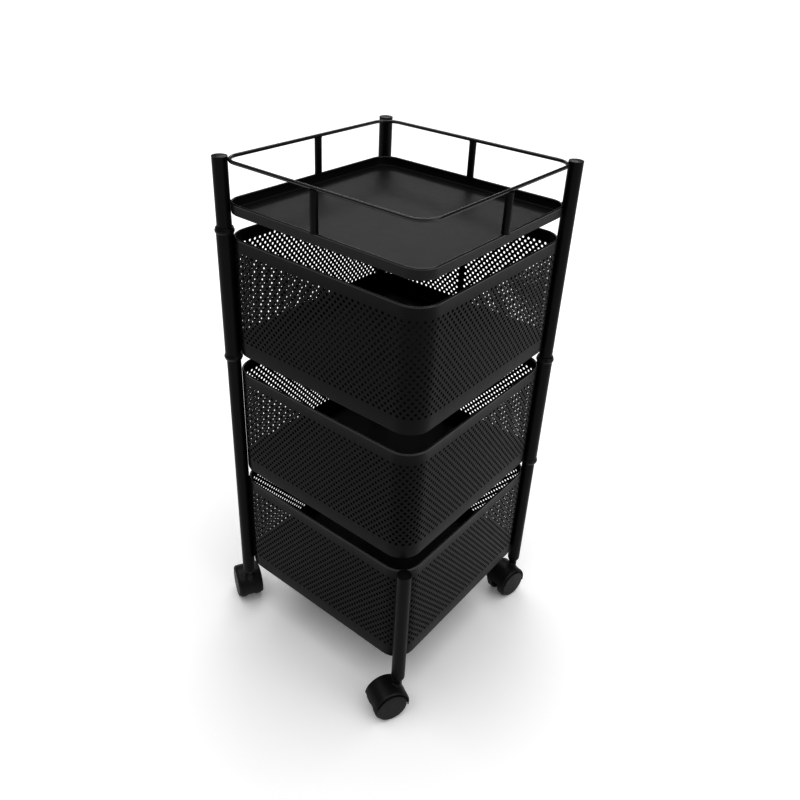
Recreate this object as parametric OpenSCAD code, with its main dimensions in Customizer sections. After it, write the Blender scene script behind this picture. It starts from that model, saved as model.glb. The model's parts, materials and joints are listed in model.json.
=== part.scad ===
// Rolling pantry cart: four tube legs on twin-wheel casters, a fixed bottom basket, two baskets
// that swing out on opposite posts, and a railed tray on top.
// Millimetres. +Z is up, the floor is z = 0, and the Z axis runs midway between the four legs.
// Corners are named as they are seen by a person standing at +X, -Y: front, left, right and back.

/* [Frame] */
// Distance between neighbouring posts, axis to axis
post_spacing = 310; // [280:1:400]
// Outer diameter of the legs and posts
tube_d = 19; // [16:0.5:22]
// Wall thickness of the legs and posts
tube_wall = 1.2; // [1:0.1:2]
// Height at which the tube of each leg begins
leg_bottom = 66; // [60:1:80]
// Height at which the legs end and the long posts begin
leg_top = 258.8; // [250:0.1:262]
// Height at which the tube of each long post ends
post_top = 735; // [720:1:900]

/* [Baskets] */
// Height of a basket from its underside to the top of its rim
basket_h = 167; // [150:1:168]
// Underside of the bottom basket
bottom_z = 90; // [80:1:91]
// Underside of the middle basket
middle_z = 277; // [277:1:278]
// Underside of the top basket
top_z = 470; // [469:1:480]
// Radius of a basket's upright corners, over the rim
basket_corner_r = 31; // [20:1:40]
// Thickness of the sheet of the baskets and tray
sheet = 1; // [0.8:0.1:1.4]
// Diameter of the rolled hem round each rim
hem_d = 3; // [2.6:0.1:4]

/* [Tray and guard rail] */
// Underside of the tray
tray_z = 666; // [664:1:672]
// Height of the tray from its underside to the top of its rim
tray_h = 15; // [8:1:20]
// Radius of the tray's upright corners
tray_corner_r = 26; // [15:1:35]
// Height of the guard rail's centre line
rail_z = 732; // [700:1:733]
// Diameter of the guard rail's wire
rail_d = 4.5; // [3:0.5:6]
// Diameter of the upright rods between the tray and the guard rail
rod_d = 9.5; // [6:0.5:10]
// Distance of the rod between the left and back posts from the middle of its side
rod_shift = 12; // [0:1:40]

/* [Swing sleeves] */
// Outer diameter of the sleeve that carries a hung basket
sleeve_d = 22; // [21.8:0.1:22.4]
// Wall thickness of the sleeve
sleeve_wall = 0.8; // [0.7:0.05:0.9]
// Largest diameter of the bushes and stop collars
ring_d = 25; // [24:0.5:27]
// Height of a bush's flange
flange_h = 3.5; // [2.5:0.5:4]
// Height of a stop collar
collar_h = 4.5; // [3:0.5:5]

/* [Casters] */
// Diameter of each wheel
wheel_d = 50; // [46:1:52]
// Width over the two wheels of a caster
caster_w = 40; // [40:0.5:44]
// Distance from the swivel axis to the axle
trail = 15.5; // [14:0.5:18]
// Direction in which the front caster trails, in degrees from +X towards +Y
heading_front = 243.5; // [0:0.5:359]
// Direction in which the left caster trails
heading_left = 151.5; // [0:0.5:359]
// Direction in which the right caster trails
heading_right = 258; // [0:1:359]
// Direction in which the back caster trails
heading_back = 205; // [0:1:359]

/* [Hidden] */
$fn = 96;

// Clearances: a push fit, a running fit and the gap between faces that pass each other
push_gap = 0.05;
running_gap = 0.06;
face_gap = 0.3;
// Gap between the rim of a hung basket and the post that it swings past
pass_gap = 0.35;
// How far a weld reaches into the pieces that it joins
weld_bite = 0.4;
weld_w = 5;
post_half = post_spacing / 2;
tube_r = tube_d / 2;
bore_r = tube_r - tube_wall;

// Half width of a square whose rounded corner ends `gap` short of a post's axis, to 0.01 mm
function half_width(gap, corner_r) =
    round(100 * (post_half + corner_r - (gap + corner_r) / sqrt(2))) / 100;

// How far a rim stands out from its wall
rim_lip = 0.2;
// A hung basket's rim bites into its sleeve at one corner and passes the post at the opposite
// one, so the basket sits a little off centre. `rim_gap` is the mean of both, from the axis.
sleeve_gap = sleeve_d / 2 - weld_bite;
post_gap = tube_r + pass_gap;
rim_gap = (sleeve_gap + post_gap) / 2;
basket_half = half_width(rim_gap, basket_corner_r);
basket_shift = round(100 * (sleeve_gap - post_gap) / 2 / sqrt(2)) / 100;
// Outside radius of the turned-in lower edge, and width of the seat under a basket's floor.
// A flat radius is where that edge becomes flat, from the centre of a corner's arc.
turn_r = 3;
seat_w = 9;
basket_flat_r = basket_corner_r - rim_lip - turn_r;
tray_flat_r = tray_corner_r - rim_lip - turn_r;
// The welds of a basket end this far from its underside and from the top of its rim
weld_end = 4;
weld_l = basket_h - 2 * weld_end;

// The tray's rim just touches the posts, and so does the guard rail
tray_half = half_width(tube_r, tray_corner_r);
rail_half = half_width(tube_r + rail_d / 2, tray_corner_r);

// End caps, joint plugs and sockets
cap_lip = 0.3;
cap_flange_h = 0.8;
cap_h = 1.6;
cap_plug_l = 14;
joint_plug_l = 60;
socket_l = 34;
socket_bottom = 55;
neck_d = 12.5;

// Sleeve, from the lower flange to the upper one
sleeve_below = 3.35;
sleeve_above = 2.35;
bush_l = 12;

// Caster: stem, hood and wheels
wheel_r = wheel_d / 2;
stem_d = 8;
stem_top = 92;
stem_bottom = 34;
stem_flange_d = 10.4;
stem_flange_h = 1;
bead_out = 0.6;
bead_h = 2;
bead_z = 38;
hood_gap = 1;
hood_sheet = 1.4;
hood_w = 38;
hood_tilt = 12;
core_half = 6;
core_boss_r = 11;
boss_bottom = 30;
wheel_in = 6.8;
wheel_out = caster_w / 2;
axle_d = 6;
axle_half = 16;
hub_r = 8;
tread_t = 3.5;
disc_t = 3.4;
dome_h = 1;

steel_black = [0.09, 0.09, 0.095];
plastic_black = [0.13, 0.13, 0.135];
plain_steel = [0.62, 0.62, 0.64];

// Which way a corner lies from the Z axis
function corner_of(side) =
    side == "front" ? [1, -1] :
    side == "left" ? [-1, -1] :
    side == "right" ? [1, 1] : [-1, 1];

function heading_of(side) =
    side == "front" ? heading_front :
    side == "left" ? heading_left :
    side == "right" ? heading_right : heading_back;

// Direction from a corner post to the Z axis
function inward_of(side) = atan2(-corner_of(side)[1], -corner_of(side)[0]);

// Places its children on the axis of a corner's post
module at_corner(side) {
    translate([corner_of(side)[0] * post_half, corner_of(side)[1] * post_half, 0]) children();
}

// Carries a flat profile round a square with rounded corners. The profile's x is the distance
// from the centre of a corner's arc, so its outermost point lies at corner_r.
module around(half_w, corner_r) {
    straight = half_w - corner_r;
    for (turn = [0:90:270]) {
        rotate([0, 0, turn]) {
            translate([straight, straight, 0]) rotate([90, 0, 0])
                linear_extrude(2 * straight) children();
            translate([straight, straight, 0]) rotate_extrude(angle = 90) children();
        }
    }
}

// Plate with rounded corners that ends `edge` beyond the centres of its corner arcs
module rounded_plate(half_w, corner_r, edge, thick) {
    straight = half_w - corner_r;
    around(half_w, corner_r) square([edge, thick]);
    translate([-straight, -straight, 0]) cube([2 * straight, 2 * straight, thick]);
}

// Upright sheet with a rolled hem at the top and its lower edge turned in by a quarter circle
module sheet_profile(corner_r, height) {
    face = corner_r - rim_lip;
    translate([face - sheet, turn_r]) square([sheet, height - turn_r - hem_d / 2]);
    translate([corner_r - hem_d / 2, height - hem_d / 2]) circle(d = hem_d);
    translate([face - turn_r, turn_r]) intersection() {
        difference() {
            circle(r = turn_r);
            circle(r = turn_r - sheet);
        }
        translate([0, -turn_r]) square(turn_r);
    }
}

// Weld on a post's axis, from radius r0 to r1, on the side towards the Z axis
module weld(side, r0, r1, z, height) {
    at_corner(side) rotate([0, 0, inward_of(side)])
        translate([r0 - weld_bite, -weld_w / 2, z]) cube([r1 - r0 + 2 * weld_bite, weld_w, height]);
}

module tube(d, wall, z0, z1) {
    translate([0, 0, z0]) difference() {
        cylinder(d = d, h = z1 - z0);
        translate([0, 0, -1]) cylinder(d = d - 2 * wall, h = z1 - z0 + 2);
    }
}

module leg(side) {
    color(steel_black) {
        at_corner(side) tube(tube_d, tube_wall, leg_bottom, leg_top);
        weld(side, tube_r, rim_gap + rim_lip, bottom_z + weld_end, weld_l);
    }
}

module post(side) {
    color(steel_black) at_corner(side) tube(tube_d, tube_wall, leg_top, post_top);
}

// Plug that lines a long post up on its leg
module joint_plug(side) {
    color(plain_steel) at_corner(side) translate([0, 0, leg_top - joint_plug_l / 2])
        cylinder(r = bore_r - push_gap, h = joint_plug_l);
}

// Low plastic cap that plugs the open end of a tube
module end_cap(side, z) {
    color(plastic_black) at_corner(side) translate([0, 0, z]) {
        translate([0, 0, -cap_plug_l]) cylinder(r = bore_r - push_gap, h = cap_plug_l);
        cylinder(r = tube_r + cap_lip, h = cap_flange_h);
        translate([0, 0, cap_flange_h])
            cylinder(r1 = tube_r + cap_lip, r2 = tube_r - 2.5, h = cap_h - cap_flange_h);
    }
}

// Plastic socket in the foot of a leg, bored for the caster's stem
module socket(side) {
    color(plastic_black) at_corner(side) difference() {
        union() {
            translate([0, 0, leg_bottom]) cylinder(r = bore_r - push_gap, h = socket_l);
            translate([0, 0, socket_bottom])
                cylinder(d1 = neck_d, d2 = tube_d, h = leg_bottom - socket_bottom);
        }
        translate([0, 0, socket_bottom - 1])
            cylinder(d = stem_d + 2 * push_gap, h = stem_top - socket_bottom + 1 + face_gap);
    }
}

// Steel stem: a shank in the leg's socket, a flange, and a beaded end that the hood turns on
module stem(side) {
    color(plain_steel) at_corner(side) {
        translate([0, 0, stem_bottom]) cylinder(d = stem_d, h = stem_top - stem_bottom);
        translate([0, 0, socket_bottom - stem_flange_h])
            cylinder(d = stem_flange_d, h = stem_flange_h);
        translate([0, 0, bead_z]) cylinder(r = stem_d / 2 + bead_out, h = bead_h);
    }
}

// A basket's wall; shift is how far the basket sits off centre along both X and Y
module basket_wall(z, shift = 0) {
    color(steel_black) translate([shift, shift, z]) around(basket_half, basket_corner_r) {
        sheet_profile(basket_corner_r, basket_h);
        translate([basket_flat_r - seat_w, 0]) square([seat_w, sheet]);
    }
}

module basket_floor(z, shift = 0) {
    color(steel_black) translate([shift, shift, z + sheet])
        rounded_plate(basket_half, basket_corner_r, basket_flat_r - face_gap, sheet);
}

// Tube that turns on a post and carries a hung basket
module sleeve(side, z) {
    color(steel_black) {
        at_corner(side)
            tube(sleeve_d, sleeve_wall, z - sleeve_below, z + basket_h + sleeve_above);
        weld(side, sleeve_d / 2, sleeve_gap + rim_lip, z + weld_end, weld_l);
    }
}

// Flanged bush with its flange downwards, its top face at z = 0 against the sleeve's end
module bush() {
    sleeve_bore_r = sleeve_d / 2 - sleeve_wall;
    difference() {
        union() {
            cylinder(r = sleeve_bore_r - push_gap, h = bush_l);
            translate([0, 0, -flange_h])
                cylinder(d1 = ring_d, d2 = sleeve_d + 0.4, h = flange_h);
        }
        translate([0, 0, -flange_h - 1])
            cylinder(r = tube_r + running_gap, h = bush_l + flange_h + 2);
    }
}

// Conical collar fixed on the post, its wide face at z = 0 facing the bush
module collar() {
    difference() {
        translate([0, 0, -collar_h]) cylinder(d1 = tube_d + 3, d2 = ring_d, h = collar_h);
        translate([0, 0, -collar_h - 1]) cylinder(r = tube_r + push_gap, h = collar_h + 2);
    }
}

module lower_bush(side, z) {
    color(plastic_black) at_corner(side) translate([0, 0, z - sleeve_below]) bush();
}

module upper_bush(side, z) {
    color(plastic_black) at_corner(side) translate([0, 0, z + basket_h + sleeve_above])
        mirror([0, 0, 1]) bush();
}

module lower_collar(side, z) {
    color(plastic_black) at_corner(side)
        translate([0, 0, z - sleeve_below - flange_h - face_gap]) collar();
}

module upper_collar(side, z) {
    color(plastic_black) at_corner(side)
        translate([0, 0, z + basket_h + sleeve_above + flange_h + face_gap])
        mirror([0, 0, 1]) collar();
}

// Shallow pressed tray with a rolled rim, welded to the three long posts
module tray() {
    color(steel_black) {
        translate([0, 0, tray_z]) {
            around(tray_half, tray_corner_r) sheet_profile(tray_corner_r, tray_h);
            rounded_plate(tray_half, tray_corner_r, tray_flat_r, sheet);
        }
        for (side = ["left", "right", "back"])
            weld(side, tube_r, tube_r + rim_lip, tray_z + tray_h - 6, 5.2);
    }
}

// Closed loop of wire round the top, welded inside the three long posts
module guard_rail() {
    color(steel_black) {
        translate([0, 0, rail_z]) around(rail_half, tray_corner_r)
            translate([tray_corner_r, 0]) circle(d = rail_d);
        for (side = ["left", "right", "back"])
            weld(side, tube_r, tube_r + rim_lip, rail_z - 1.2, 2.4);
    }
}

// Upright rod near the middle of each side, from the tray's rim to the guard rail
module rail_rods() {
    rod_bottom = tray_z + tray_h - weld_bite;
    rod_top = rail_z - rail_d / 2 + weld_bite;
    color(steel_black) for (turn = [0:90:270])
        rotate([0, 0, turn]) translate([rail_half, turn == 180 ? -rod_shift : 0, rod_bottom])
            cylinder(d = rod_d, h = rod_top - rod_bottom);
}

// Puts a caster piece in place: the swivel axis is the Z axis and the wheels trail towards +X
module at_caster(side) {
    at_corner(side) rotate([0, 0, heading_of(side)]) children();
}

// Turns its children's Z axis into a caster's axle, at the axle's place
module on_axle() {
    translate([trail, 0, wheel_r]) rotate([90, 0, 0]) children();
}

// Hood over both wheels, with the core between them and the boss round the stem
module hood(side) {
    inner_r = wheel_r + hood_gap;
    outer_r = inner_r + hood_sheet;
    boss_top = socket_bottom - stem_flange_h - face_gap;
    color(plastic_black) at_caster(side) difference() {
        union() {
            on_axle() difference() {
                union() {
                    translate([0, 0, -hood_w / 2]) difference() {
                        cylinder(r = outer_r, h = hood_w);
                        translate([0, 0, -1]) cylinder(r = inner_r, h = hood_w + 2);
                    }
                    translate([0, 0, -core_half]) cylinder(r = inner_r + 0.2, h = 2 * core_half);
                }
                rotate([0, 0, hood_tilt]) translate([-2 * outer_r, -2 * outer_r, -hood_w])
                    cube([4 * outer_r, 2 * outer_r, 2 * hood_w]);
            }
            on_axle() translate([0, 0, -core_half]) cylinder(r = core_boss_r, h = 2 * core_half);
            translate([0, 0, boss_bottom]) cylinder(d = neck_d, h = boss_top - boss_bottom);
        }
        translate([0, 0, stem_bottom - face_gap])
            cylinder(d = stem_d + 2 * running_gap, h = boss_top);
        translate([0, 0, bead_z - face_gap])
            cylinder(r = stem_d / 2 + bead_out + face_gap, h = bead_h + 2 * face_gap);
        on_axle() translate([0, 0, -core_half - 1])
            cylinder(d = axle_d + 2 * push_gap, h = 2 * core_half + 2);
    }
}

module axle(side) {
    color(plain_steel) at_caster(side) on_axle()
        translate([0, 0, -axle_half]) cylinder(d = axle_d, h = 2 * axle_half);
}

// Half section of one wheel: x is the radius and y the distance from the caster's middle
module wheel_profile() {
    edge_r = wheel_r - 1.4;
    disc_in = wheel_out - disc_t;
    polygon([
        [axle_d / 2 + running_gap, wheel_in],
        [hub_r, wheel_in],
        [hub_r, disc_in],
        [wheel_r - tread_t, disc_in],
        [wheel_r - tread_t, wheel_in],
        [wheel_r - 0.5, wheel_in],
        [wheel_r, wheel_in + 0.5],
        [wheel_r, wheel_out - dome_h - 1.4],
        [edge_r, wheel_out - dome_h],
        [edge_r * 0.6, wheel_out - 0.3],
        [0, wheel_out],
        [0, axle_half + face_gap],
        [axle_d / 2 + running_gap, axle_half + face_gap]
    ]);
}

// One wheel; end is 1 or -1 and picks the side of the caster
module wheel(side, end) {
    color(plastic_black) at_caster(side) on_axle()
        mirror([0, 0, end == 1 ? 0 : 1]) rotate_extrude() wheel_profile();
}

for (side = ["front", "left", "right", "back"]) {
    leg(side);
    end_cap(side, side == "front" ? leg_top : post_top);
    socket(side);
    stem(side);
    hood(side);
    axle(side);
    wheel(side, 1);
    wheel(side, -1);
}

for (side = ["left", "right", "back"]) {
    post(side);
    joint_plug(side);
}

tray();
guard_rail();
rail_rods();

basket_wall(bottom_z);  // bottom_basket_wall
basket_floor(bottom_z);  // bottom_basket_floor

basket_wall(middle_z, -basket_shift);  // middle_basket_wall
basket_floor(middle_z, -basket_shift);  // middle_basket_floor
sleeve("right", middle_z);  // middle_sleeve
lower_bush("right", middle_z);  // middle_bush_lower
upper_bush("right", middle_z);  // middle_bush_upper
lower_collar("right", middle_z);  // middle_collar_lower
upper_collar("right", middle_z);  // middle_collar_upper

basket_wall(top_z, basket_shift);  // top_basket_wall
basket_floor(top_z, basket_shift);  // top_basket_floor
sleeve("left", top_z);  // top_sleeve
lower_bush("left", top_z);  // top_bush_lower
upper_bush("left", top_z);  // top_bush_upper
lower_collar("left", top_z);  // top_collar_lower
upper_collar("left", top_z);  // top_collar_upper
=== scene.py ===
"""Rolling pantry cart: perforated swing baskets, railed tray and twin-wheel casters.

Everything is in metres in the CAD frame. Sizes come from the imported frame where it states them,
and details finer than the CAD model (perforation, hems, fillets, weld beads) are named below.
"""

import json
import math

import bmesh
import bpy
import numpy as np
from mathutils import Matrix, Vector


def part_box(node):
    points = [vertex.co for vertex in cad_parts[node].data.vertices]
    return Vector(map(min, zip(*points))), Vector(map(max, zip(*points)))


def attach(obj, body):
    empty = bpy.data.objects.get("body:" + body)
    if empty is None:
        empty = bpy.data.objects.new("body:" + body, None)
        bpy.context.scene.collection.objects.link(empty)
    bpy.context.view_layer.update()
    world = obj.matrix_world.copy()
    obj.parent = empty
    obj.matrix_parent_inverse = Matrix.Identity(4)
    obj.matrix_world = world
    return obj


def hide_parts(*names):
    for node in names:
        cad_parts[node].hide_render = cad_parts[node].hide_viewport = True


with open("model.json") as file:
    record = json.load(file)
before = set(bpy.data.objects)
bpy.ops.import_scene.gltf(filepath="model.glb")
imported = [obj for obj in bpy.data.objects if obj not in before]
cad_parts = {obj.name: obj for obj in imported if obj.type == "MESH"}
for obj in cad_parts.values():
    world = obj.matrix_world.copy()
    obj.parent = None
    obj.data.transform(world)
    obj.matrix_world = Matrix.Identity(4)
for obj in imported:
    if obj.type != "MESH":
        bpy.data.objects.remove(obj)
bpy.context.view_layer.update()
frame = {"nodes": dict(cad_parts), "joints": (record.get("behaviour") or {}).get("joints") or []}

MM = 0.001
# Lengths under this are taken as nothing
TINY = 1e-9
# The four corners, and the three whose posts reach the tray
SIDES = ("front", "left", "right", "back")
LONG = ("left", "right", "back")


# ---------------------------------------------------------------- places from the frame

def centre(node):
    low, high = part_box(node)
    return (np.array(low) + np.array(high)) / 2


def size(node):
    low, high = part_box(node)
    return np.array(high) - np.array(low)


TUBE_R = size("post_left")[0] / 2
SLEEVE_R = TUBE_R + 1.5 * MM
POST = {s: centre("socket_" + s)[:2] for s in SIDES}
INWARD = {s: math.atan2(-POST[s][1], -POST[s][0]) for s in SIDES}
JOINTS = {j["name"]: j for j in frame["joints"]}


# ---------------------------------------------------------------- materials

# Colour of the lighter specks in the coat, and how much lighter the plastic's scuffed edges are
SPECK = (0.015, 0.015, 0.016)
SCUFF = 1.9


def shader(name, colour, roughness, specular):
    """A new material with its own Principled shader, and the tools to link nodes to it."""
    material = bpy.data.materials.new(name)
    material.use_nodes = True
    nodes = material.node_tree.nodes
    links = material.node_tree.links
    principled = nodes["Principled BSDF"]
    principled.inputs["Base Color"].default_value = (*colour, 1)
    principled.inputs["Roughness"].default_value = roughness
    principled.inputs["Specular IOR Level"].default_value = specular
    return material, nodes, links, principled


def noise(nodes, links, scale, detail=2.0, rough=0.5):
    """3-D noise over the object's own coordinates; scale is in cells per metre."""
    where = nodes.get("Texture Coordinate") or nodes.new("ShaderNodeTexCoord")
    texture = nodes.new("ShaderNodeTexNoise")
    texture.inputs["Scale"].default_value = scale
    texture.inputs["Detail"].default_value = detail
    texture.inputs["Roughness"].default_value = rough
    links.new(where.outputs["Object"], texture.inputs["Vector"])
    return texture.outputs["Fac"]


def spread(nodes, links, source, low, high, start=0.3, end=0.7):
    """Maps a noise's middle range onto low..high."""
    ramp = nodes.new("ShaderNodeMapRange")
    ramp.inputs["From Min"].default_value = start
    ramp.inputs["From Max"].default_value = end
    ramp.inputs["To Min"].default_value = low
    ramp.inputs["To Max"].default_value = high
    links.new(source, ramp.inputs["Value"])
    return ramp.outputs["Result"]


def mix_colour(nodes, links, factor, first, second):
    mix = nodes.new("ShaderNodeMix")
    mix.data_type = "RGBA"
    for socket, value in ((mix.inputs[6], first), (mix.inputs[7], second)):
        if isinstance(value, tuple):
            socket.default_value = (*value, 1)
        else:
            links.new(value, socket)
    links.new(factor, mix.inputs[0])
    return mix.outputs[2]


def bump(nodes, links, height, distance, strength=1.0):
    node = nodes.new("ShaderNodeBump")
    node.inputs["Distance"].default_value = distance
    node.inputs["Strength"].default_value = strength
    links.new(height, node.inputs["Height"])
    return node.outputs["Normal"]


def edge_mask(nodes, links, start=0.52, end=0.62):
    """1 on convex edges, 0 elsewhere."""
    geometry = nodes.new("ShaderNodeNewGeometry")
    return spread(nodes, links, geometry.outputs["Pointiness"], 0, 1, start, end)


def powder_coat(name, dark, light, rough_low, rough_high, specular):
    """Black satin powder coat: fine orange peel, faint clouding and a few lighter specks."""
    material, nodes, links, principled = shader(name, light, rough_high, specular)
    cloud = spread(nodes, links, noise(nodes, links, scale=22, detail=4), low=0, high=1)
    tone = mix_colour(nodes, links, cloud, dark, light)
    fine = noise(nodes, links, scale=1400, detail=1)
    speck = spread(nodes, links, fine, low=0, high=1, start=0.62, end=0.74)
    tone = mix_colour(nodes, links, speck, tone, SPECK)
    links.new(tone, principled.inputs["Base Color"])
    rough = spread(nodes, links, noise(nodes, links, scale=75, detail=3), rough_low, rough_high)
    links.new(rough, principled.inputs["Roughness"])
    peel = noise(nodes, links, scale=700, detail=2, rough=0.6)
    relief = bump(nodes, links, peel, distance=0.12 * MM, strength=0.55)
    links.new(relief, principled.inputs["Normal"])
    return material


def moulded_plastic(name, dark, light, rough_low, rough_high, grain):
    """Black moulded plastic with a fine spark-eroded grain and scuffed, greyer edges."""
    material, nodes, links, principled = shader(name, light, rough_high, specular=0.4)
    cloud = spread(nodes, links, noise(nodes, links, scale=45, detail=4), low=0, high=1)
    tone = mix_colour(nodes, links, cloud, dark, light)
    scuffed = tuple(min(1, SCUFF * c) for c in light)
    tone = mix_colour(nodes, links, edge_mask(nodes, links), tone, scuffed)
    links.new(tone, principled.inputs["Base Color"])
    rough = spread(nodes, links, noise(nodes, links, scale=160, detail=3), rough_low, rough_high)
    links.new(rough, principled.inputs["Roughness"])
    texture = noise(nodes, links, scale=grain, detail=2, rough=0.7)
    relief = bump(nodes, links, texture, distance=0.1 * MM, strength=0.4)
    links.new(relief, principled.inputs["Normal"])
    return material


def bright_steel():
    """Zinc-plated steel, cloudy and finely pitted."""
    middle = (0.52, 0.52, 0.53)
    material, nodes, links, principled = shader("plated_steel", middle, roughness=0.3, specular=0.5)
    principled.inputs["Metallic"].default_value = 1.0
    cloud = noise(nodes, links, scale=90, detail=4)
    tone = mix_colour(nodes, links, cloud, (0.42, 0.42, 0.43), (0.62, 0.62, 0.63))
    links.new(tone, principled.inputs["Base Color"])
    rough = spread(nodes, links, noise(nodes, links, scale=300, detail=3), low=0.24, high=0.4)
    links.new(rough, principled.inputs["Roughness"])
    pits = noise(nodes, links, scale=900, detail=2)
    relief = bump(nodes, links, pits, distance=0.05 * MM, strength=0.4)
    links.new(relief, principled.inputs["Normal"])
    return material


COAT = powder_coat("black_powder_coat", dark=(0.0038, 0.0039, 0.0042), light=(0.0045, 0.0046, 0.0049),
                   rough_low=0.32, rough_high=0.36, specular=0.2)
# Same black coat, glossier and with a lighter base colour: a painted highlight for the hems and the guard
# wire
HIGHLIGHT_COAT = powder_coat("rubbed_coat", dark=(0.008, 0.008, 0.0085), light=(0.0095, 0.0095, 0.01),
                        rough_low=0.2, rough_high=0.26, specular=0.9)
# The tray is the same black coat; its lighter base colour is painted light for the brightness its flat top
# catches
LIT_TRAY_COAT = powder_coat("tray_coat", dark=(0.0105, 0.0105, 0.0112), light=(0.0115, 0.0115, 0.0122),
                        rough_low=0.4, rough_high=0.43, specular=0.33)
PLASTIC = moulded_plastic("fitting_plastic", dark=(0.007, 0.007, 0.0074), light=(0.01, 0.01, 0.0106),
                          rough_low=0.28, rough_high=0.36, grain=1500)
CASTER = moulded_plastic("caster_plastic", dark=(0.007, 0.007, 0.0074), light=(0.011, 0.011, 0.0115),
                         rough_low=0.36, rough_high=0.5, grain=1300)
WHEEL = moulded_plastic("wheel_plastic", dark=(0.006, 0.006, 0.0063), light=(0.009, 0.009, 0.0094),
                        rough_low=0.36, rough_high=0.5, grain=1200)
STEEL = bright_steel()


# ---------------------------------------------------------------- mesh helpers

def piece(name, verts, faces, material, slot, body, replaces=(), sharp=35):
    """A mesh object that rides on a body. Angles over `sharp` degrees stay crisp."""
    mesh = bpy.data.meshes.new(name)
    mesh.from_pydata([tuple(v) for v in verts], [], faces)
    mesh.validate()
    whole = bmesh.new()
    whole.from_mesh(mesh)
    bmesh.ops.recalc_face_normals(whole, faces=whole.faces)
    whole.to_mesh(mesh)
    whole.free()
    mesh.shade_smooth()
    mesh.set_sharp_from_angle(angle=math.radians(sharp))
    mesh.materials.append(material)
    obj = bpy.data.objects.new(name, mesh)
    bpy.context.scene.collection.objects.link(obj)
    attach(obj, body)
    if replaces:
        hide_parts(*replaces)
    return obj


def paint_highlight(obj, low, high):
    """Gives the faces between two heights the smoother, shinier coat whose lighter base colour is a painted
    highlight.
    """
    obj.data.materials.append(HIGHLIGHT_COAT)
    for face in obj.data.polygons:
        if low < face.center.z < high:
            face.material_index = 1


def join(parts):
    """One (verts, faces) from several."""
    verts, faces = [], []
    for part_verts, part_faces in parts:
        start = len(verts)
        verts.extend(part_verts)
        faces.extend([tuple(start + i for i in f) for f in part_faces])
    return verts, faces


def moved(part, matrix):
    verts, faces = part
    flip = matrix.to_3x3().determinant() < 0
    return [matrix @ Vector(v) for v in verts], [tuple(reversed(f)) if flip else f for f in faces]


def arc(cx, cy, radius, start, end, count):
    """Points on an arc, both ends included, angles in degrees."""
    angles = np.radians(np.linspace(start, end, count + 1))
    return [(cx + radius * math.cos(a), cy + radius * math.sin(a)) for a in angles]


def lathe(profile, segments=64, closed=False):
    """Turns (radius, z) points about the Z axis. Points on the axis become a single vertex."""
    verts, rings = [], []
    for r, z in profile:
        if r < TINY:
            rings.append([len(verts)] * segments)
            verts.append((0, 0, z))
        else:
            rings.append(list(range(len(verts), len(verts) + segments)))
            for k in range(segments):
                a = 2 * math.pi * k / segments
                verts.append((r * math.cos(a), r * math.sin(a), z))
    faces = []
    pairs = list(zip(rings, rings[1:] + rings[:1])) if closed else list(zip(rings, rings[1:]))
    for low, high in pairs:
        for k in range(segments):
            n = (k + 1) % segments
            ring = (low[k], low[n], high[n], high[k])
            face = tuple(dict.fromkeys(ring))
            if len(face) > 2:
                faces.append(face)
    return verts, faces


def filleted(points, radius, steps=4, share=0.45):
    """Replaces each inner corner of an open profile by a small curve. radius is one number, or one
    for each inner corner. A curve takes at most `share` of the lines beside it."""
    out = [points[0]]
    radii = radius if isinstance(radius, (list, tuple)) else [radius] * (len(points) - 2)
    for before, corner, after, r in zip(points, points[1:], points[2:], radii):
        a = np.array(before) - corner
        b = np.array(after) - corner
        la, lb = np.linalg.norm(a), np.linalg.norm(b)
        half = math.acos(max(-1, min(1, float(a @ b) / (la * lb)))) / 2
        cut = min(r / math.tan(half), share * la, share * lb) if r > 0 else 0
        if cut < TINY:
            out.append(tuple(corner))
            continue
        p0 = np.array(corner) + a / la * cut
        p1 = np.array(corner) + b / lb * cut
        for t in np.linspace(0, 1, steps + 1):
            q = (1 - t) ** 2 * p0 + 2 * t * (1 - t) * np.array(corner) + t ** 2 * p1
            out.append(tuple(q))
    out.append(points[-1])
    return out


class Square:
    """A square path with rounded corners. `spot(s)` is the centre of curvature and the outward
    direction at distance s along the path, measured at radius `at` from the corner centres."""

    def __init__(self, half, corner_r, at):
        self.flat = half - corner_r
        self.at = at
        self.side = 2 * self.flat
        self.turn = math.pi / 2 * at
        self.length = 4 * (self.side + self.turn)

    def spot(self, s):
        s = s % self.length
        quarter, rest = divmod(s, self.side + self.turn)
        if rest < self.side:
            base, angle = Vector((self.flat, rest - self.flat)), 0.0
        else:
            base, angle = Vector((self.flat, self.flat)), (rest - self.side) / self.at
        turned = Matrix.Rotation(quarter * math.pi / 2, 2)
        out = Matrix.Rotation(quarter * math.pi / 2 + angle, 2) @ Vector((1, 0))
        return turned @ base, out

    def even(self, corner_steps, side_steps):
        """Distances along the path with more of them in the corners."""
        out = []
        for quarter in range(4):
            start = quarter * (self.side + self.turn)
            out += [start + self.side * k / side_steps for k in range(side_steps)]
            out += [start + self.side + self.turn * k / corner_steps for k in range(corner_steps)]
        return out


def skin(columns, count, spans):
    """Quads between neighbouring columns of `count` points each, all the way round."""
    faces = []
    for c in range(columns):
        n = (c + 1) % columns
        for k in range(spans):
            m = (k + 1) % count
            faces.append((c * count + k, n * count + k, n * count + m, c * count + m))
    return faces


def lids(columns, count):
    """The two flat faces that close an open profile at its first and its last points."""
    first = tuple(reversed([c * count for c in range(columns)]))
    last = tuple(c * count + count - 1 for c in range(columns))
    return [first, last]


def swept(path, stops, profile, closed=True):
    """Carries a profile of (distance outward, z) points round the path."""
    verts = []
    count = len(profile)
    for s in stops:
        base, out = path.spot(s)
        for x, z in profile:
            verts.append((base.x + out.x * x, base.y + out.y * x, z))
    return verts, skin(len(stops), count, count if closed else count - 1)


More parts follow.
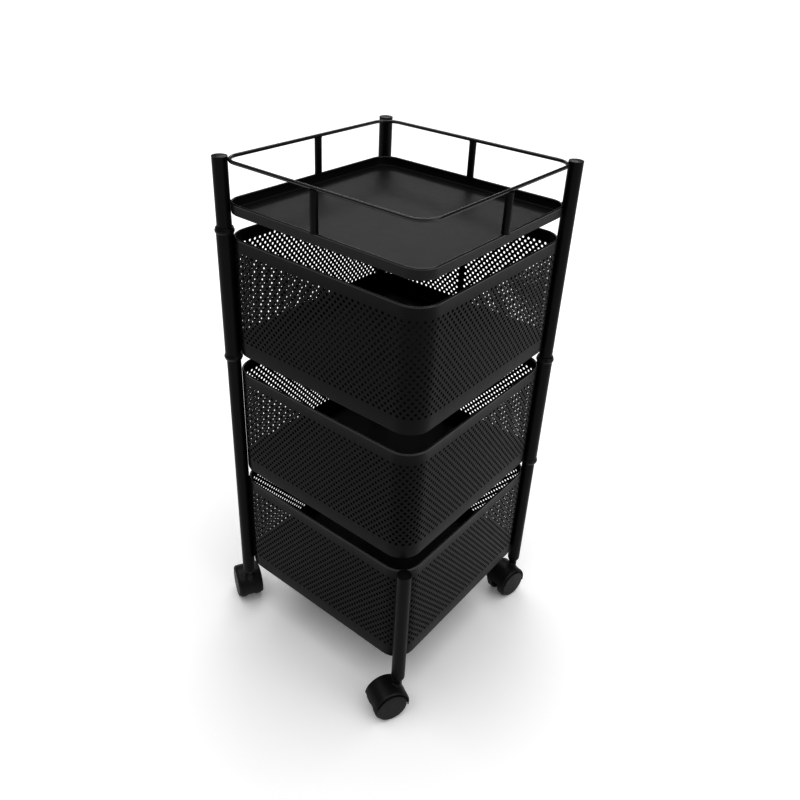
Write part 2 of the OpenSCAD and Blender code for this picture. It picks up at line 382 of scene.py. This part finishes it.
def bead(points, radius, ripple=0.16, pitch=0.0011, sides=8):
    """A weld bead: a rippled tube along the points, closed at both ends."""
    pts = [Vector(p) for p in points]
    lengths = [0.0]
    for a, b in zip(pts, pts[1:]):
        lengths.append(lengths[-1] + (b - a).length)
    total = lengths[-1]
    # Four rings to a ripple
    steps = max(6, int(total / (pitch / 4)))
    verts, faces = [], []
    for i in range(steps + 1):
        s = total * i / steps
        k = max(j for j in range(len(pts) - 1) if lengths[j] <= s + TINY)
        t = (s - lengths[k]) / (lengths[k + 1] - lengths[k])
        here = pts[k].lerp(pts[k + 1], t)
        along = (pts[k + 1] - pts[k]).normalized()
        side = along.orthogonal().normalized()
        up = along.cross(side)
        end = min(1.0, min(s, total - s) / radius)
        r = radius * math.sqrt(max(0.02, 1 - (1 - end) ** 2))
        r *= 1 + ripple * math.sin(2 * math.pi * s / pitch)
        for j in range(sides):
            a = 2 * math.pi * j / sides
            verts.append(here + side * (r * math.cos(a)) + up * (r * math.sin(a)))
    for i in range(steps):
        for j in range(sides):
            n = (j + 1) % sides
            faces.append((i * sides + j, i * sides + n, (i + 1) * sides + n, (i + 1) * sides + j))
    faces.append(tuple(reversed(range(sides))))
    faces.append(tuple(range(steps * sides, (steps + 1) * sides)))
    return verts, faces


def around_post(side, radius, angle, z):
    """A point at `radius` from a post's axis, `angle` radians away from the inward direction."""
    a = INWARD[side] + angle
    return (POST[side][0] + radius * math.cos(a), POST[side][1] + radius * math.sin(a), z)


def post_bead(side, reach, half_angle, z, count, radius):
    """A short weld bead round the inward side of a post."""
    turns = np.linspace(-half_angle, half_angle, count)
    return bead([around_post(side, reach, a, z) for a in turns], radius)


def at_post(side, part):
    return moved(part, Matrix.Translation((*POST[side], 0)))


# ---------------------------------------------------------------- baskets

# Thickness of the plain sheet, and of the pierced part of a basket's wall
SHEET = 1.0 * MM
PIERCED = 0.6 * MM
# Rolled hem: its diameter, how far it stands out past the wall, and how much of it gets the painted highlight
HEM_D = 3.0 * MM
HEM_LIP = 0.2 * MM
HIGHLIGHT_BAND = 0.75 * HEM_D
# Radius of a basket's upright corners and of its lower edge, and the width of the turned-in edge
BASKET_R = 31.0 * MM
EDGE_R = 3.0 * MM
SEAT = 9.0 * MM
# Perforation: the holes, their rows, and the plain band below them
HOLE_D = 4.1 * MM
ROWS = 25
ROW_PITCH = 5.14 * MM
HOLES_ROUND = 137
BAND_BELOW = 22.5 * MM
# How far a long weld bead stays off both ends of a basket
WELD_END = 4 * MM


def rolled_hem(outside, top, count, sheet=SHEET):
    """Profile of a hem rolled inwards, from the sheet's outer face round to its inner face."""
    radius = HEM_D / 2
    x, face = outside - radius, outside - HEM_LIP
    start = math.degrees(math.asin((face - x) / radius)) - 90
    end = 270 - math.degrees(math.asin((x - face + sheet) / radius))
    return arc(x, top - radius, radius, start, end, count)


def perforated_wall(low, height, half):
    """Wall of one basket: a sheet pierced by rows of holes, each row half a pitch from the next,
    with a turned-in lower edge and a rolled hem. The holes are eight-sided; one hole in each row is
    missing at the seam, in the middle of the +Y side."""
    face = BASKET_R - HEM_LIP
    back = face - PIERCED
    path = Square(half, BASKET_R, face - PIERCED / 2)
    columns = 2 * HOLES_ROUND
    pitch = path.length / HOLES_ROUND
    spots = [path.spot(m * pitch / 2) for m in range(columns)]
    seam = round(2 * (1.5 * path.side + path.turn) / pitch)
    first = low + BAND_BELOW - (ROW_PITCH - HOLE_D) / 2
    verts, faces = [], []

    def add(spot, x, z):
        base, out = spot
        verts.append((base.x + out.x * x, base.y + out.y * x, z))
        return len(verts) - 1

    # Holes: on each side of the sheet, every hole has a cell of eight quads
    r = HOLE_D / 2
    angles = [math.radians(45 * k) for k in range(8)]
    lines, rims = {}, {}
    for x in (face, back):
        for k in range(ROWS + 1):
            lines[x, k] = [add(spots[m], x, first + k * ROW_PITCH) for m in range(columns)]
        for j in range(ROWS):
            z = first + (j + 0.5) * ROW_PITCH
            shift = j % 2
            mids = [add(spots[(2 * i + 1 + shift) % columns], x, z) for i in range(HOLES_ROUND)]
            low_line, high_line = lines[x, j], lines[x, j + 1]
            for i in range(HOLES_ROUND):
                m = (2 * i + shift) % columns
                east, west = (m + 1) % columns, (m - 1) % columns
                cell = [mids[i], high_line[east], high_line[m], high_line[west],
                        mids[i - 1], low_line[west], low_line[m], low_line[east]]
                if m in (seam, seam + 1):
                    faces.append(tuple(cell))
                    continue
                at = [path.spot(m * pitch / 2 + r * math.cos(a)) for a in angles]
                rim = [add(s, x, z + r * math.sin(a)) for s, a in zip(at, angles)]
                rims[x, j, i] = rim
                for k in range(8):
                    n = (k + 1) % 8
                    quad = (rim[k], cell[k], cell[n], rim[n])
                    faces.append(quad if x == face else quad[::-1])
    for j in range(ROWS):
        for i in range(HOLES_ROUND):
            if (face, j, i) not in rims:
                continue
            outer, inner = rims[face, j, i], rims[back, j, i]
            for k in range(8):
                n = (k + 1) % 8
                faces.append((outer[k], outer[n], inner[n], inner[k]))

    # Plain edges: the hem above the holes, and the turned-in edge below them
    def edge(profile, start, end):
        rings = [start] + [[add(s, x, z) for s in spots] for x, z in profile] + [end]
        for a, b in zip(rings, rings[1:]):
            for m in range(columns):
                n = (m + 1) % columns
                faces.append((a[m], a[n], b[n], b[m]))

    hem = rolled_hem(BASKET_R, low + height, count=13, sheet=PIERCED)
    edge(hem, lines[face, ROWS], lines[back, ROWS])
    inner = arc(face - EDGE_R, low + EDGE_R, EDGE_R - SHEET, 0, -90, 3)
    outer = arc(face - EDGE_R, low + EDGE_R, EDGE_R, -90, 0, 4)
    seat = [(face - EDGE_R - SEAT, low + SHEET), (face - EDGE_R - SEAT, low)]
    edge(inner + seat + outer, lines[back, 0], lines[face, 0])
    return verts, faces


def plate(half, corner_r, edge, low, high, rounding, corner_steps=12):
    """A flat plate with rounded corners; `edge` is how far it reaches from the corner centres."""
    path = Square(half, corner_r, edge)
    stops = path.even(corner_steps, 1)
    rim = [(edge - rounding, low)] + arc(edge - rounding, low + rounding, rounding, -90, 0, 3)[1:]
    rim += arc(edge - rounding, high - rounding, rounding, 0, 90, 3)
    verts, faces = swept(path, stops, rim, closed=False)
    count = len(rim)
    return verts, faces + lids(len(stops), count)


def corner_welds(side, low, height, reach, half_angle=0.2):
    """A long bead on each side of a basket's corner, in the groove between it and a tube."""
    ends = (low + WELD_END, low + height - WELD_END)
    parts = []
    for turn in (-half_angle, half_angle):
        points = [around_post(side, reach, turn, z) for z in ends]
        parts.append(bead(points, radius=0.9 * MM, ripple=0.12, pitch=1.6 * MM))
    return join(parts)


def basket(name, body, supports, weld_r):
    wall, floor = name + "_basket_wall", name + "_basket_floor"
    low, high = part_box(wall)
    half, height = size(wall)[0] / 2, size(wall)[2]
    place = Matrix.Translation((*centre(wall)[:2], 0))
    sheet = piece(name + "_basket_sheet", *moved(perforated_wall(low[2], height, half), place),
                  COAT, "powder_coated_steel", body, [wall])
    # The hem's top gets the lighter, glossier coat: a painted highlight
    paint_highlight(sheet, high[2] - HIGHLIGHT_BAND, high[2])
    pan_low, pan_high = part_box(floor)
    edge = size(floor)[0] / 2 - (half - BASKET_R)
    pan = plate(half, BASKET_R, edge, pan_low[2], pan_high[2], rounding=0.3 * MM)
    piece(name + "_basket_pan", *moved(pan, place), COAT, "powder_coated_steel", body, [floor])
    beads = join([corner_welds(s, low[2], height, weld_r) for s in supports])
    piece(name + "_basket_welds", *beads, COAT, "powder_coated_steel", body)


# ---------------------------------------------------------------- tray and guard rail

# Radius of the tray's corners, and the width of the rim outside its flat middle
TRAY_R = 26.0 * MM
TRAY_RIM = 13.0 * MM
# The rod between the left and the back post stands this far off the middle
ROD_SHIFT = 12.0 * MM


def tray():
    """Pressed tray: rolled rim, low wall, a rounded corner and a flat floor, in one skin."""
    low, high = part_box("tray")
    half = high[0]
    path = Square(half, TRAY_R, TRAY_R)
    stops = path.even(corner_steps=16, side_steps=6)
    face = TRAY_R - HEM_LIP
    middle = face - TRAY_RIM
    bottom, floor = low[2], low[2] + SHEET
    outside = [(middle, bottom)] + arc(face - EDGE_R, bottom + EDGE_R, EDGE_R, -90, 0, 5)
    hem = rolled_hem(TRAY_R, high[2], count=15)
    inside = arc(face - EDGE_R, bottom + EDGE_R, EDGE_R - SHEET, 0, -90, 8)
    profile = outside + hem + inside + [(middle, floor)]
    verts, faces = swept(path, stops, profile, closed=False)
    faces += lids(len(stops), len(profile))
    # The tray gets the lighter coat: painted light over the whole pressing
    pressing = piece("tray_pressing", verts, faces, LIT_TRAY_COAT, "powder_coated_steel", "frame", ["tray"])
    # The hem's top gets the lighter, glossier coat: a painted highlight
    paint_highlight(pressing, high[2] - HIGHLIGHT_BAND, high[2])
    z = high[2] - HEM_D / 2 + 0.4 * MM
    reach = TUBE_R + 0.25 * MM
    parts = [post_bead(s, reach, half_angle=0.5, z=z, count=7, radius=1.0 * MM) for s in LONG]
    piece("tray_welds", *join(parts), COAT, "powder_coated_steel", "frame")


def guard_rail():
    low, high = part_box("guard_rail")
    wire_r = (high[2] - low[2]) / 2
    z = (high[2] + low[2]) / 2
    half = high[0] - wire_r
    path = Square(half, TRAY_R, TRAY_R)
    ring = [(TRAY_R + x, z + y) for x, y in arc(0, 0, wire_r, 0, 360, 16)[:-1]]
    rail = swept(path, path.even(corner_steps=18, side_steps=8), ring)
    # The whole wire gets the lighter, glossier coat: a painted highlight
    piece("guard_rail_wire", *rail, HIGHLIGHT_COAT, "powder_coated_steel", "frame", ["guard_rail"])
    # Two short beads at each post, just above and below the wire's middle
    reach, offset = TUBE_R + 0.5 * MM, 0.9 * MM
    parts = []
    for side in LONG:
        for dz in (-offset, offset):
            parts.append(post_bead(side, reach, half_angle=0.35, z=z + dz, count=5, radius=0.8 * MM))
    piece("guard_rail_welds", *join(parts), COAT, "powder_coated_steel", "frame")

    rods_low, rods_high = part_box("rail_rods")
    rod_r = rods_high[0] - half
    shifts = (0, 0, -ROD_SHIFT, 0)
    tray_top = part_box("tray")[1][2]
    sink = 0.1 * MM
    parts, welds = [], []
    for k, shift in enumerate(shifts):
        turn = Matrix.Rotation(k * math.pi / 2, 4, "Z") @ Matrix.Translation((half, shift, 0))
        profile = [(0, rods_low[2]), (rod_r, rods_low[2]), (rod_r, rods_high[2]), (0, rods_high[2])]
        profile = filleted(profile, [0.2 * MM, 0.6 * MM])
        parts.append(moved(lathe(profile, 32), turn))
        for height in (tray_top - sink, rods_high[2] + sink):
            ring = arc(0, 0, rod_r - sink, 0, 345, 20)
            weld = bead([(x, y, height) for x, y in ring], radius=0.55 * MM)
            welds.append(moved(weld, turn))
    piece("rail_rods_round", *join(parts), COAT, "powder_coated_steel", "frame", ["rail_rods"])
    piece("rail_rod_welds", *join(welds), COAT, "powder_coated_steel", "frame")


# ---------------------------------------------------------------- tubes and their fittings

# Wall of the posts' tube and of a sleeve
WALL = 1.2 * MM
SLEEVE_WALL = 0.8 * MM
# Plugs are this much smaller than the tube's inside, and the bushes this much wider than the post
PLUG_GAP = 0.05 * MM
RUNNING_GAP = 0.06 * MM
# End cap: how far below its top the flange lies, the flange's edge, and the dome
CAP_SEAT = 1.6 * MM
CAP_EDGE_R = 0.5 * MM
CAP_DOME_H = 0.9 * MM
CAP_DOME_IN = 0.3 * MM
CAP_CHAMFER = 0.8 * MM
# Leg socket: the stem's bore and the broken edge at the top of its plug
SOCKET_BORE_R = 4.05 * MM
SOCKET_CHAMFER = 1 * MM
# Radius of the caster's neck, which the socket's lower end has too
NECK_R = 6.25 * MM
# Bush: height of its flange, and how far inside the sleeve's outer face its spigot lies
BUSH_FLANGE_H = 3.5 * MM
SPIGOT_IN = 0.85 * MM


def tube_part(radius, wall, low, high, rounding=0.25 * MM):
    """An open tube with slightly broken edges."""
    inner = radius - wall
    return lathe([(radius, low + rounding), (radius, high - rounding), (radius - rounding, high),
                  (inner, high), (inner, low), (radius - rounding, low)], 64, closed=True)


def tubes():
    for side in SIDES:
        low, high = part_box("leg_" + side)
        leg = at_post(side, tube_part(TUBE_R, WALL, low[2], high[2]))
        piece("leg_tube_" + side, *leg, COAT, "powder_coated_steel", "frame", ["leg_" + side])
    for side in LONG:
        low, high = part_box("post_" + side)
        post = at_post(side, tube_part(TUBE_R, WALL, low[2], high[2]))
        piece("post_tube_" + side, *post, COAT, "powder_coated_steel", "frame", ["post_" + side])


def caps():
    """Low domed caps with a rounded flange over the end of the tube."""
    for side in SIDES:
        name = "cap_" + side
        low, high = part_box(name)
        flange_r = size(name)[0] / 2
        seat = high[2] - CAP_SEAT
        plug_r = TUBE_R - WALL - PLUG_GAP
        edge = arc(flange_r - CAP_EDGE_R, seat + CAP_EDGE_R, CAP_EDGE_R, -90, 60, 6)
        dome_r = (flange_r ** 2 + CAP_DOME_H ** 2) / (2 * CAP_DOME_H)
        dome = []
        steps = 8
        for k in range(1, steps + 1):
            r = (flange_r - CAP_DOME_IN) * (1 - k / steps)
            dome.append((r, high[2] - dome_r + math.sqrt(dome_r ** 2 - r ** 2)))
        profile = [(0, low[2]), (plug_r - CAP_CHAMFER, low[2]), (plug_r, low[2] + CAP_CHAMFER),
                   (plug_r, seat)]
        profile += edge + [(r, max(z, edge[-1][1])) for r, z in dome]
        piece("end_" + name, *at_post(side, lathe(profile)), PLASTIC, "black_plastic", "frame", [name])


def sockets():
    """Tapered plastic sockets under the legs, with a soft waist down to the caster's neck."""
    for side in SIDES:
        name = "socket_" + side
        low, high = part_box(name)
        leg_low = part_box("leg_" + side)[0][2]
        plug_r = TUBE_R - WALL - PLUG_GAP
        taper = []
        for t in np.linspace(0, 1, 9):
            ease = t * t * (3 - 2 * t)
            taper.append((NECK_R + (TUBE_R - NECK_R) * ease, low[2] + (leg_low - low[2]) * t))
        profile = [(SOCKET_BORE_R, low[2])] + taper
        profile += [(plug_r, leg_low), (plug_r, high[2] - SOCKET_CHAMFER)]
        profile += [(plug_r - SOCKET_CHAMFER, high[2]), (SOCKET_BORE_R, high[2])]
        piece("leg_" + name, *at_post(side, lathe(profile, 64, closed=True)), PLASTIC,
              "black_plastic", "frame", [name])


def swing_parts(level, side):
    """Sleeve, bushes and stop collars of one hung basket."""
    body = level + "_basket"
    low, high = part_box(level + "_sleeve")
    sleeve = at_post(side, tube_part(SLEEVE_R, SLEEVE_WALL, low[2], high[2], rounding=0.3 * MM))
    piece(level + "_sleeve_tube", *sleeve, COAT, "powder_coated_steel", body, [level + "_sleeve"])
    for end in ("lower", "upper"):
        bush, stop = f"{level}_bush_{end}", f"{level}_collar_{end}"
        up = end == "lower"
        bush_low, bush_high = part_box(bush)
        flange_r = size(bush)[0] / 2
        total = bush_high[2] - bush_low[2]
        bore = TUBE_R + RUNNING_GAP
        spigot = SLEEVE_R - SPIGOT_IN
        profile = [(bore, 0), (flange_r - 0.2 * MM, 0), (flange_r, 0.5 * MM),
                   (SLEEVE_R + 0.3 * MM, BUSH_FLANGE_H), (spigot, BUSH_FLANGE_H),
                   (spigot, total), (bore, total)]
        profile = filleted(profile, [0.3 * MM, 0.6 * MM, 0.4 * MM, 0, 0.2 * MM], steps=3)
        part = lathe(profile, 64, closed=True)
        flip = Matrix.Identity(4) if up else Matrix.Scale(-1, 4, (0, 0, 1))
        place = Matrix.Translation((*POST[side], bush_low[2] if up else bush_high[2])) @ flip
        piece(bush + "_moulding", *moved(part, place), PLASTIC, "black_plastic", body, [bush])
        stop_low, stop_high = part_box(stop)
        wide = size(stop)[0] / 2
        tall = stop_high[2] - stop_low[2]
        bore = TUBE_R + 0.05 * MM
        profile = [(bore, 0), (SLEEVE_R, 0), (wide, tall - 0.5 * MM),
                   (wide - 0.2 * MM, tall), (bore, tall)]
        profile = filleted(profile, [0.5 * MM, 0.6 * MM, 0.3 * MM], steps=3)
        part = lathe(profile, 64, closed=True)
        place = Matrix.Translation((*POST[side], stop_low[2] if up else stop_high[2])) @ flip
        piece(stop + "_moulding", *moved(part, place), PLASTIC, "black_plastic", "frame", [stop])


# ---------------------------------------------------------------- casters

# Hood: its width and sheet, its gap to the wheels, its turned-in edges, and its tilt in degrees
HOOD_W = 38.0 * MM
HOOD_SHEET = 1.4 * MM
HOOD_GAP = 1.0 * MM
HOOD_EDGE_R = 3.4 * MM
HOOD_TILT = 12
# Core between the wheels: half its width, its boss round the axle, and its bite into the hood
CORE_HALF = 6.0 * MM
CORE_BOSS_R = 11 * MM
CORE_BITE = 0.3 * MM
# Neck round the stem: its bore and its lower end
STEM_BORE_R = 4.06 * MM
BOSS_BOTTOM = 30.0 * MM
# Wheel, across: its inner face, its outer face, and the end of its blind axle hole
WHEEL_IN = 6.8 * MM
WHEEL_OUT = 20.0 * MM
AXLE_END = 16.3 * MM
# Wheel, in radius: the axle's bore, the hub, the tread's thickness, and its broken inner edge
AXLE_BORE_R = 3.06 * MM
HUB_R = 8.0 * MM
TREAD_T = 3.5 * MM
TREAD_CHAMFER = 0.6 * MM
# The disc: its inner face's depth, the step down to the tread's shoulder, and how far in it starts
DISC_DEPTH = 5.4 * MM
STEP_DEPTH = 4.4 * MM
STEP_IN = 2.6 * MM
STEP_CHAMFER = 0.6 * MM
SHOULDER_R = 1 * MM
FACE_DROP = 1.5 * MM


def caster_place(side):
    """Matrix from a caster's own frame (axle along Y at x = trail) to the cart's frame."""
    axle = JOINTS[f"wheel_{side}_a_spin"]
    swivel = JOINTS[f"caster_{side}_swivel"]
    offset = np.array(axle["pos_m"][:2]) - np.array(swivel["pos_m"][:2])
    turn = math.atan2(offset[1], offset[0])
    place = Matrix.Translation((*swivel["pos_m"][:2], 0)) @ Matrix.Rotation(turn, 4, "Z")
    return place, float(np.hypot(*offset)), axle["pos_m"][2]


def hood_fillet(trail, axle_z, outer, reach=4.5 * MM, columns=48, steps=6):
    """A ring between the neck and the hood: a curve on top and a flat return inside the solids."""
    def hood_z(radius, angle):
        along = radius * math.cos(angle) - trail
        return axle_z + math.sqrt(max(0, outer ** 2 - along ** 2))

    verts = []
    for c in range(columns):
        a = 2 * math.pi * c / columns
        inside = NECK_R - 0.3 * MM
        start = Vector((inside, hood_z(NECK_R, a) + reach * 0.8))
        corner = Vector((NECK_R + 0.1 * MM, hood_z(NECK_R, a)))
        end = Vector((NECK_R + reach, hood_z(NECK_R + reach, a) - 0.1 * MM))
        curve = [start * (1 - t) ** 2 + corner * (2 * t * (1 - t)) + end * t ** 2
                 for t in np.linspace(0, 1, steps + 1)]
        curve.append(Vector((inside, min(start.y, end.y) - 1 * MM)))
        verts += [(p.x * math.cos(a), p.x * math.sin(a), p.y) for p in curve]
    count = steps + 2
    return verts, skin(columns, count, count)


def hood(side):
    """Curved hood over both wheels, the core between them, and the neck round the stem."""
    place, trail, axle_z = caster_place(side)
    inner = axle_z + HOOD_GAP
    outer = inner + HOOD_SHEET
    half = HOOD_W / 2
    # Shell: cross-section (across, radius) whose sides turn in over the wheels, swept over them
    flat, low_r = half - HOOD_EDGE_R, outer - HOOD_EDGE_R
    lip_r = HOOD_EDGE_R - HOOD_SHEET
    ring = arc(flat, low_r, lip_r, 90, 25, 5) + arc(flat, low_r, HOOD_EDGE_R, 25, 90, 8)
    ring += arc(-flat, low_r, HOOD_EDGE_R, 90, 155, 8) + arc(-flat, low_r, lip_r, 155, 90, 5)
    angles = np.radians(np.linspace(HOOD_TILT, 180 + HOOD_TILT, 49))
    verts = [(trail + r * math.cos(a), y, axle_z + r * math.sin(a)) for a in angles for y, r in ring]
    count = len(ring)
    faces = []
    for i in range(len(angles) - 1):
        for k in range(count):
            n = (k + 1) % count
            faces.append((i * count + k, i * count + n, (i + 1) * count + n, (i + 1) * count + k))
    faces.append(tuple(reversed(range(count))))
    faces.append(tuple(range((len(angles) - 1) * count, len(angles) * count)))
    shell = (verts, faces)
    # Core: a plate between the wheels, half round above and with a round boss at the axle
    core_r = inner + CORE_BITE
    outline = [(core_r * math.cos(a), core_r * math.sin(a)) for a in angles]
    outline += arc(0, 0, CORE_BOSS_R, 180 + HOOD_TILT, 360 + HOOD_TILT, 24)
    count = len(outline)
    verts = [(trail + x, y, axle_z + z) for y in (-CORE_HALF, CORE_HALF) for x, z in outline]
    faces = [(k, (k + 1) % count, count + (k + 1) % count, count + k) for k in range(count)]
    faces += [tuple(reversed(range(count))), tuple(range(count, 2 * count))]
    core = (verts, faces)
    # Neck, and a fillet that runs from it down onto the hood's slope all the way round
    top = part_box("hood_" + side)[1][2]
    profile = [(STEM_BORE_R, BOSS_BOTTOM), (NECK_R, BOSS_BOTTOM), (NECK_R, top - 0.5 * MM),
               (NECK_R - 0.4 * MM, top), (STEM_BORE_R, top)]
    neck = lathe(profile, 48, closed=True)
    foot = hood_fillet(trail, axle_z, outer)
    part = moved(join([shell, core, neck, foot]), place)
    piece("caster_hood_" + side, *part, CASTER, "caster_plastic", "caster_" + side, ["hood_" + side])


def wheel(side, end):
    """One wheel: a smooth tread with a rounded shoulder, and a domed disc standing out past it."""
    name = f"wheel_{side}_{end}"
    joint = JOINTS[name + "_spin"]
    axis = Vector(joint["axis"])
    away = (Vector(centre(name)) - Vector(joint["pos_m"])).dot(axis)
    r = joint["pos_m"][2]
    ring = r - TREAD_T
    disc_in = WHEEL_OUT - DISC_DEPTH
    disc_r, edge_y = r - STEP_IN, WHEEL_OUT - STEP_DEPTH
    shoulder = arc(r - SHOULDER_R, edge_y - SHOULDER_R, SHOULDER_R, 0, 90, 5)
    face = arc(disc_r - SHOULDER_R, WHEEL_OUT - FACE_DROP, SHOULDER_R, 0, 80, 5)
    groove = [(disc_r + STEP_CHAMFER, edge_y), (disc_r, edge_y + STEP_CHAMFER)]
    dome = []
    steps = 9
    rim_r, rim_y = face[-1]
    for k in range(1, steps + 1):
        radius = rim_r * (1 - k / steps)
        dome.append((radius, WHEEL_OUT - (WHEEL_OUT - rim_y) * (radius / rim_r) ** 2))
    profile = [(0, AXLE_END), (AXLE_BORE_R, AXLE_END), (AXLE_BORE_R, WHEEL_IN), (HUB_R, WHEEL_IN),
               (HUB_R, disc_in), (ring, disc_in), (ring, WHEEL_IN), (r - TREAD_CHAMFER, WHEEL_IN),
               (r, WHEEL_IN + TREAD_CHAMFER)]
    part = lathe(profile + shoulder + groove + face + dome, 72)
    sign = 1 if away > 0 else -1
    align = Vector((0, 0, 1)).rotation_difference(axis * sign).to_matrix().to_4x4()
    spot = Matrix.Translation(joint["pos_m"]) @ align
    piece(name + "_moulding", *moved(part, spot), WHEEL, "wheel_plastic", name, [name])


# ---------------------------------------------------------------- build

basket("bottom", "frame", SIDES, weld_r=TUBE_R + 0.6 * MM)
basket("middle", "middle_basket", ["right"], weld_r=SLEEVE_R + 0.2 * MM)
basket("top", "top_basket", ["left"], weld_r=SLEEVE_R + 0.2 * MM)
tray()
guard_rail()
tubes()
caps()
sockets()
swing_parts("middle", "right")
swing_parts("top", "left")
for corner in SIDES:
    hood(corner)
    wheel(corner, "a")
    wheel(corner, "b")

for name, node in frame["nodes"].items():
    if name.startswith(("stem_", "axle_", "joint_plug_")):
        node.data.materials.clear()
        node.data.materials.append(STEEL)


# ---------------------------------------------------------------- floor, light and camera

def floor():
    mesh = bpy.data.meshes.new("studio_floor")
    reach = 40.0
    mesh.from_pydata([(-reach, -reach, 0), (reach, -reach, 0), (reach, reach, 0), (-reach, reach, 0)],
                     [], [(0, 1, 2, 3)])
    white = (0.93, 0.93, 0.93)
    material, _, _, principled = shader("studio_white", white, roughness=0.9, specular=0.1)
    principled.inputs["Emission Color"].default_value = (1, 1, 1, 1)
    principled.inputs["Emission Strength"].default_value = 0.14
    mesh.materials.append(material)
    obj = bpy.data.objects.new("studio_floor", mesh)
    bpy.context.scene.collection.objects.link(obj)


def softbox(name, position, target, width, height, power):
    data = bpy.data.lights.new(name, "AREA")
    data.shape = "RECTANGLE"
    data.size = width
    data.size_y = height
    data.energy = power
    lamp = bpy.data.objects.new(name, data)
    lamp.location = position
    lamp.rotation_euler = (Vector(target) - Vector(position)).to_track_quat("-Z", "Y").to_euler()
    bpy.context.scene.collection.objects.link(lamp)


def studio():
    """Faint even surroundings, a soft light from above that keeps the floor white, a window-like
    softbox on the right and another behind that grazes the tray."""
    world = bpy.data.worlds.new("studio")
    world.use_nodes = True
    background = world.node_tree.nodes["Background"]
    background.inputs["Color"].default_value = (1, 1, 1, 1)
    background.inputs["Strength"].default_value = 0.15
    scene = bpy.context.scene
    scene.world = world
    sky = bpy.data.lights.new("ceiling", "SUN")
    sky.energy = 2.7
    sky.angle = math.radians(90)
    lamp = bpy.data.objects.new("ceiling", sky)
    scene.collection.objects.link(lamp)
    softbox("right_window", position=(2.6, 0.2, 1.2), target=(0, 0, 0.4), width=1.6, height=1.6, power=12)
    softbox("back_window", position=(-1.6, 2.1, 2.1), target=(0, 0, 0.65), width=1.8, height=0.5, power=11)
    scene.view_settings.view_transform = "Standard"
    scene.view_settings.gamma = 0.7


def camera():
    """A hand-held view from the front leg's side, looking down at about 30 degrees."""
    eye = (0.5744, -0.7373, 0.9922)
    azimuth, down, roll = math.radians(37.356), math.radians(29.893), math.radians(2.926)
    data = bpy.data.cameras.new("camera")
    data.sensor_width = 36
    data.lens = 34.63
    data.shift_y = -0.0524
    data.clip_end = 100
    obj = bpy.data.objects.new("camera", data)
    ahead = Vector((-math.sin(azimuth) * math.cos(down), math.cos(azimuth) * math.cos(down), -math.sin(down)))
    right = ahead.cross(Vector((0, 0, 1))).normalized()
    up = right.cross(ahead)
    tilted = right * math.cos(roll) + up * math.sin(roll)
    raised = up * math.cos(roll) - right * math.sin(roll)
    rotation = Matrix((tilted, raised, -ahead)).transposed().to_4x4()
    obj.matrix_world = Matrix.Translation(eye) @ rotation
    bpy.context.scene.collection.objects.link(obj)
    bpy.context.scene.camera = obj


floor()
studio()
camera()
